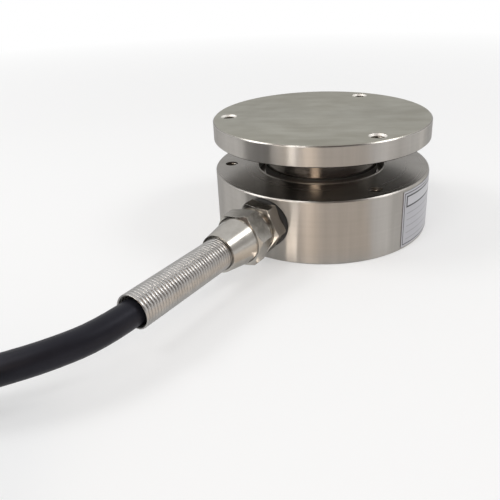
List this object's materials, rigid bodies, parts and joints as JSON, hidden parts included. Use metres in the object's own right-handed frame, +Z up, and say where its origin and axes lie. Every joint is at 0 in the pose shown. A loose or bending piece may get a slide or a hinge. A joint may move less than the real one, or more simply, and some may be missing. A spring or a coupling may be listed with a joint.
{
  "type": "weighing load cell",
  "caption": "Round two-flange load cell: base and load plate on a short neck, side cable gland with relief spring, coiled cable and a blank foil label.",
  "frame": {"origin": "centre of the base's bottom face, on the load axis", "axes": "+Z up along the load axis, cable gland along -Y"},
  "size_m": [0.0742, 0.219, 0.029],
  "materials": {
    "turned_steel": "fine turned, satin",
    "cover_metal": "satin",
    "screw_steel": "black oxide",
    "gland_nickel": "nickel plated",
    "spring_steel": "bright drawn wire",
    "seal_rubber": "moulded",
    "ring_nylon": "moulded",
    "label_foil": "printed foil",
    "cable_jacket": "extruded, matte",
    "tie_nylon": "moulded",
    "gauge_film": "film",
    "ribbon_copper": "bare",
    "board_green": "lacquered",
    "chip_black": "moulded",
    "core_red": "extruded",
    "core_black": "extruded",
    "core_green": "extruded",
    "core_white": "extruded",
    "drain_tin": "tinned copper strands"
  },
  "bodies": {
    "root": {"sensing_body": "turned_steel", "load_plate": "turned_steel", "plate_screw": "screw_steel", "bottom_cover": "cover_metal", "strain_gauge_inner_left": "gauge_film", "strain_gauge_inner_right": "gauge_film", "strain_gauge_outer_left": "gauge_film", "strain_gauge_outer_right": "gauge_film", "bridge_ribbons": "ribbon_copper", "terminal_board": "board_green", "trim_resistors": "chip_black", "lead_red": "core_red", "lead_black": "core_black", "lead_green": "core_green", "lead_white": "core_white", "gland_body": "gland_nickel", "gland_seal": "seal_rubber", "gland_grommet": "seal_rubber", "thrust_ring": "ring_nylon", "gland_cap": "gland_nickel", "relief_spring": "spring_steel", "side_label": "label_foil", "cable_inlet": "cable_jacket", "cable_run": "cable_jacket", "cable_coil": "cable_jacket", "cable_tie": "tie_nylon", "cable_tail": "cable_jacket", "core_red": "core_red", "core_black": "core_black", "core_green": "core_green", "core_white": "core_white", "shield_drain": "drain_tin"}
  },
  "joints": []
}
